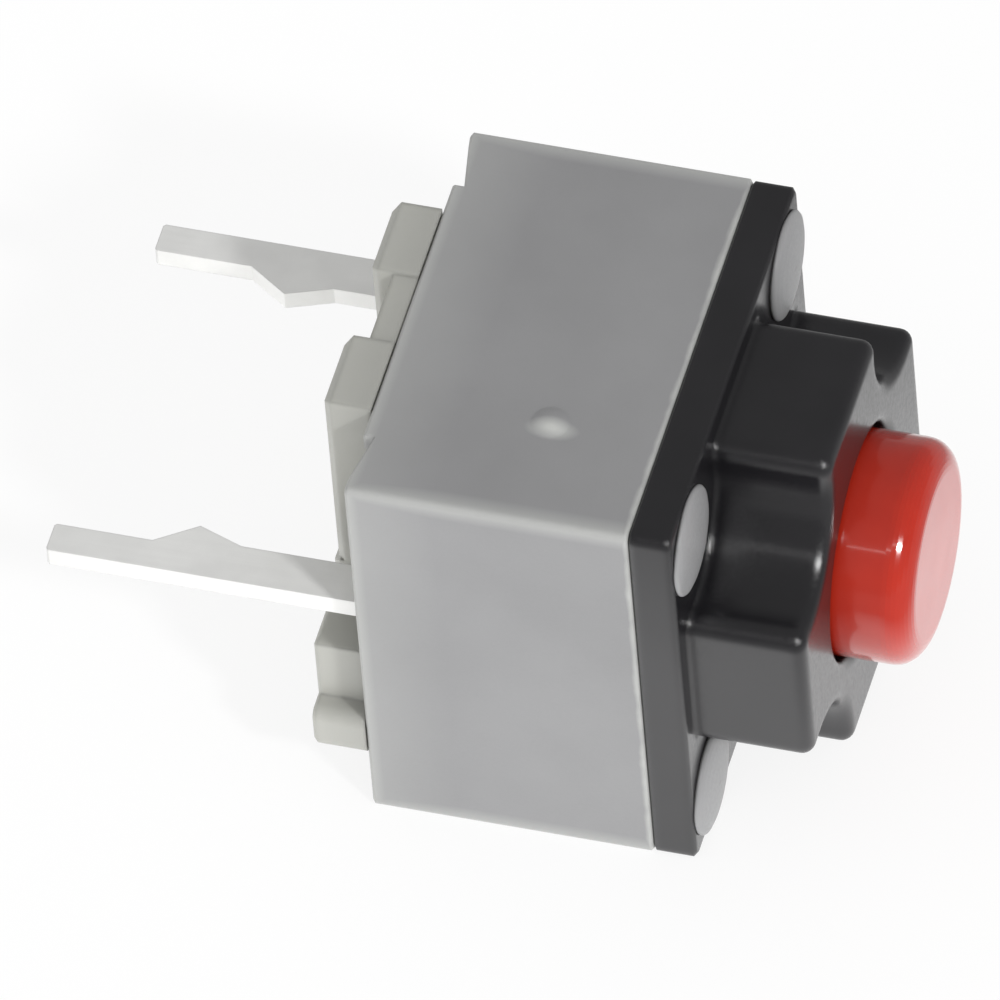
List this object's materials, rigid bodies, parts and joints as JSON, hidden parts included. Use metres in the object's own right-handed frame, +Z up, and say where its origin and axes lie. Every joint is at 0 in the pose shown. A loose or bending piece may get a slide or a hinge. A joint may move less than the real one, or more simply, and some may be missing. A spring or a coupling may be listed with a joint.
{
  "type": "tactile push button switch",
  "caption": "Square through-hole push button switch: a grey body with a black lobed cover, a red round button with a short sprung stroke, and flat tinned pins for a board.",
  "frame": {"origin": "middle of the length and width, on the ground under the side face that the switch lies on", "axes": "+X from the pins to the button, +Y from one pin to the other, +Z up from the side face that it lies on"},
  "size_m": [0.0106, 0.006, 0.0061],
  "materials": {
    "grey_housing": "satin moulded grey",
    "grey_base": "satin moulded grey",
    "black_cover": "satin moulded black",
    "red_button": "glossy moulded red",
    "tinned_sheet": "bright tin on stamped brass",
    "spring_leaf": "rolled bronze",
    "silver_contact": "silver",
    "spring_wire": "drawn steel wire",
    "soft_damper": "soft silicone"
  },
  "bodies": {
    "body": {"housing": "grey_housing", "base": "grey_base", "cover": "black_cover", "terminal_left": "tinned_sheet", "terminal_right": "tinned_sheet", "fixed_contact": "silver_contact", "return_spring": "spring_wire", "damper_pad": "soft_damper"},
    "button": {"plunger": "red_button", "damper_ring": "soft_damper"},
    "leaf": {"contact_leaf": "spring_leaf", "contact_rivet": "silver_contact"}
  },
  "joints": [
    {"name": "button_press", "type": "slide", "parent": "body", "child": "button", "axis": [1, 0, 0], "range_m": [-0.0005, 0], "stiffness_N_per_m": 400, "springref_m": 0.002, "deforming": ["return_spring"]},
    {"name": "leaf_rock", "type": "hinge", "parent": "body", "child": "leaf", "pos_m": [0.00003, 0.00185, 0.003], "axis": [0, 0, 1], "range_deg": [-14.5, 0]}
  ],
  "couplings": [
    {"joint": "leaf_rock", "follows": "button_press", "rad_per_m": 502.6}
  ]
}
